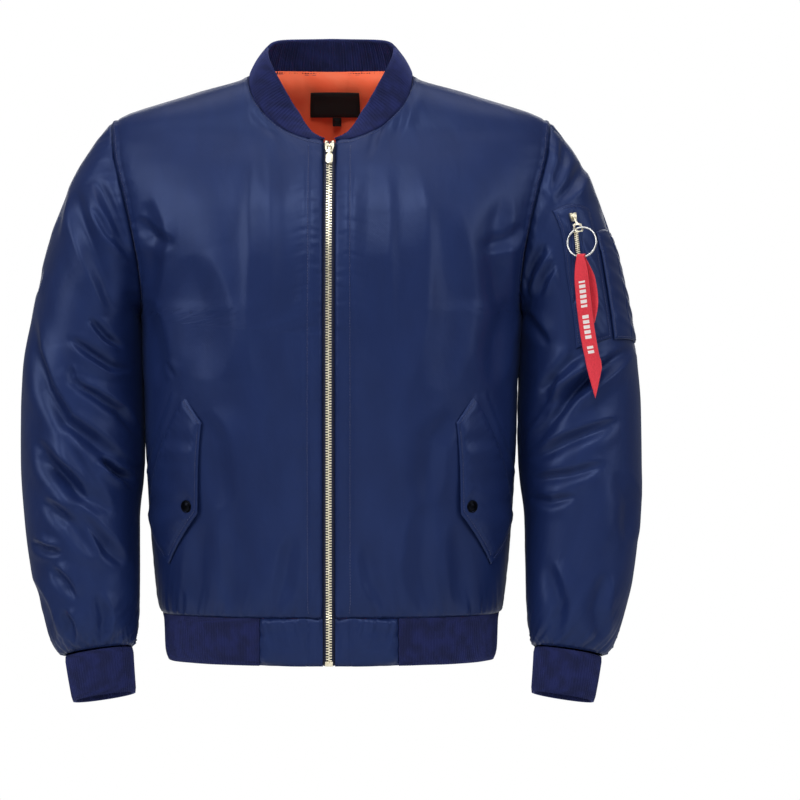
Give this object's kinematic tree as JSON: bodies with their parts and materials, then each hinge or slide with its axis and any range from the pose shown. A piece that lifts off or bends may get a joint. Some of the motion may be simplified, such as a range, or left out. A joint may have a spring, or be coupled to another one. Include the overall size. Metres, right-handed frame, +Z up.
{
  "type": "bomber jacket, filled out as worn",
  "caption": "Padded bomber jacket, zipped up and filled out as worn, hollow, with knitted collar, cuffs and hem, quilted lining, flap pockets and a zipped sleeve pocket.",
  "frame": {"origin": "middle of the neck opening at the height of the shoulder seams' neck ends, where the wearer's shoulders carry the jacket", "axes": "+Z up, the front faces -Y, the wearer's left arm is on +X"},
  "size_m": [0.689, 0.3043, 0.7481],
  "materials": {
    "shell_nylon": "satin-faced nylon, padded",
    "rib_knit": "matt rib knit",
    "facing_nylon": "satin-faced nylon",
    "lining_quilt": "satin nylon, diamond quilted",
    "zip_tape": "woven polyester tape",
    "zip_metal": "pale nickel-plated brass",
    "snap_metal": "black enamel",
    "ring_steel": "plated spring steel",
    "streamer_tape": "woven tape",
    "label_satin": "woven satin label"
  },
  "bodies": {
    "jacket": {"back": "shell_nylon", "front_left": "shell_nylon", "front_right": "shell_nylon", "sleeve_left": "shell_nylon", "sleeve_right": "shell_nylon", "collar": "rib_knit", "cuff_left": "rib_knit", "cuff_right": "rib_knit", "hem_rib": "rib_knit", "hem_tab_left": "shell_nylon", "hem_tab_right": "shell_nylon", "lining_back": "lining_quilt", "lining_front_left": "lining_quilt", "lining_front_right": "lining_quilt", "facing_left": "facing_nylon", "facing_right": "facing_nylon", "inner_welt": "facing_nylon", "neck_label": "label_satin", "size_tab": "label_satin", "zip_tape_left": "zip_tape", "zip_tape_right": "zip_tape", "zip_chain": "zip_metal", "zip_slider": "zip_metal", "zip_stop_left": "zip_metal", "zip_stop_right": "zip_metal", "zip_box": "zip_metal", "pocket_flap_left": "shell_nylon", "pocket_flap_right": "shell_nylon", "snap_left": "snap_metal", "snap_right": "snap_metal", "sleeve_pocket": "shell_nylon", "pen_pocket": "shell_nylon", "sleeve_zip_chain": "zip_metal", "sleeve_zip_slider": "zip_metal"},
    "main_pull": {"zip_pull": "zip_metal"},
    "sleeve_pull": {"sleeve_zip_pull": "zip_metal", "split_ring": "ring_steel", "ribbon": "streamer_tape"}
  },
  "joints": [
    {"name": "main_pull_hinge", "type": "hinge", "parent": "jacket", "child": "main_pull", "pos_m": [0, -0.10593, -0.08688], "axis": [-1, 0, 0], "range_deg": [0, 140]},
    {"name": "sleeve_pull_hinge", "type": "hinge", "parent": "jacket", "child": "sleeve_pull", "pos_m": [0.26828, -0.08234, -0.16263], "axis": [-0.9271, -0.3551, -0.1197], "range_deg": [0, 50]}
  ]
}
